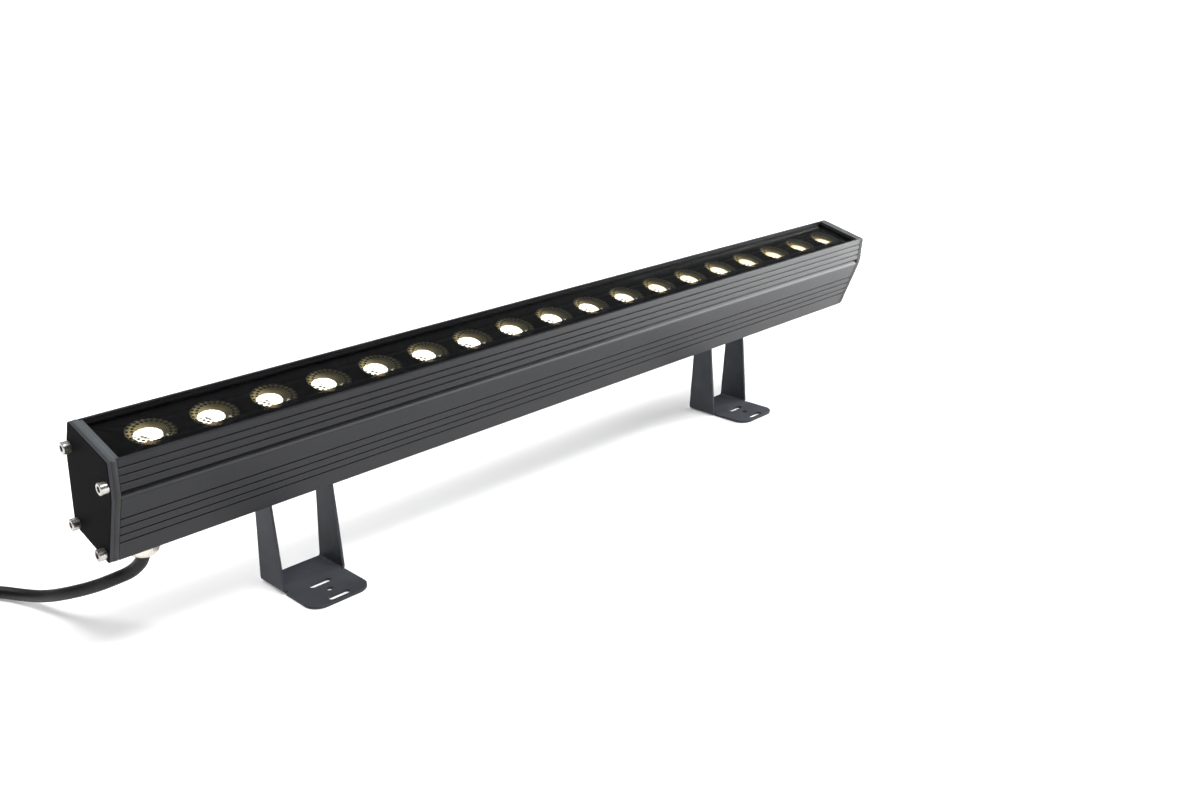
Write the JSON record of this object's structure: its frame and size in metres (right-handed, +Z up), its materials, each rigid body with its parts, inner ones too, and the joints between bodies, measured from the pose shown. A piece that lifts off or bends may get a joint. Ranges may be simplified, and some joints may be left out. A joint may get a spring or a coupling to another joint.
{
  "type": "led strip batten",
  "caption": "Long sealed LED wash batten: ribbed aluminium housing with glass-covered lenses, tilting on bent sheet brackets with slotted feet, and a trailing supply cord.",
  "frame": {"origin": "middle of the footprint at the underside of the feet, halfway along the bar, cord left out", "axes": "+X along the bar away from the cable gland's end, +Y towards the back, opposite the feet's slotted fronts, +Z up"},
  "size_m": [1.262, 0.2608, 0.2015],
  "materials": {
    "housing_finish": "satin dark grey anodised aluminium",
    "plate_finish": "satin black anodised aluminium",
    "bracket_finish": "satin dark grey powder coat on steel",
    "glass": "clear tempered glass",
    "lens_plastic": "clear acrylic with a honeycomb face",
    "baffle_black": "black",
    "board": "white solder mask on aluminium",
    "emitter": "yellow phosphor under silicone",
    "driver_case": "black case",
    "seal_rubber": "silicone rubber",
    "gasket_rubber": "dark grey rubber",
    "screw_steel": "stainless steel",
    "gland_nickel": "nickel plated brass",
    "cord_jacket": "black rubber jacket",
    "connector_plastic": "black nylon",
    "pin_metal": "plated contacts"
  },
  "bodies": {
    "left_bracket": {"bracket_left": "bracket_finish", "cord_coil": "cord_jacket", "connector_shell": "connector_plastic", "connector_ring": "connector_plastic", "connector_pins": "pin_metal"},
    "housing": {"extrusion_housing": "housing_finish", "glass_cover": "glass", "glass_seal": "seal_rubber", "lens_baffle": "baffle_black", "lens_01": "lens_plastic", "lens_02": "lens_plastic", "lens_03": "lens_plastic", "lens_04": "lens_plastic", "lens_05": "lens_plastic", "lens_06": "lens_plastic", "lens_07": "lens_plastic", "lens_08": "lens_plastic", "lens_09": "lens_plastic", "lens_10": "lens_plastic", "lens_11": "lens_plastic", "lens_12": "lens_plastic", "lens_13": "lens_plastic", "lens_14": "lens_plastic", "lens_15": "lens_plastic", "lens_16": "lens_plastic", "lens_17": "lens_plastic", "lens_18": "lens_plastic", "led_board_1": "board", "led_board_2": "board", "led_board_3": "board", "led_emitters_1": "emitter", "led_emitters_2": "emitter", "led_emitters_3": "emitter", "board_screws": "screw_steel", "driver_module": "driver_case", "inner_supply_lead": "cord_jacket", "board_leads": "cord_jacket", "end_gasket_left": "gasket_rubber", "end_plate_left": "plate_finish", "end_screws_left": "screw_steel", "hanger_left": "housing_finish", "hanger_screws_left": "screw_steel", "friction_washers_left": "connector_plastic", "pivot_washers_left": "screw_steel", "pivot_screws_left": "screw_steel", "end_gasket_right": "gasket_rubber", "end_plate_right": "plate_finish", "end_screws_right": "screw_steel", "hanger_right": "housing_finish", "hanger_screws_right": "screw_steel", "friction_washers_right": "connector_plastic", "pivot_washers_right": "screw_steel", "pivot_screws_right": "screw_steel", "gland_washer": "seal_rubber", "gland_body": "gland_nickel", "gland_nut": "gland_nickel", "gland_seal": "seal_rubber", "cord_tube": "cord_jacket"},
    "right_bracket": {"bracket_right": "bracket_finish"}
  },
  "joints": [
    {"name": "housing_tilt", "type": "hinge", "parent": "left_bracket", "child": "housing", "pos_m": [-0.3198, 0.02029, 0.0875], "axis": [1, 0, 0], "range_deg": [-90, 60]},
    {"name": "right_foot_level", "type": "hinge", "parent": "housing", "child": "right_bracket", "pos_m": [0.28, 0.02029, 0.0875], "axis": [1, 0, 0], "range_deg": [-60, 90]}
  ],
  "couplings": [
    {"joint": "right_foot_level", "follows": "housing_tilt", "ratio": -1}
  ]
}
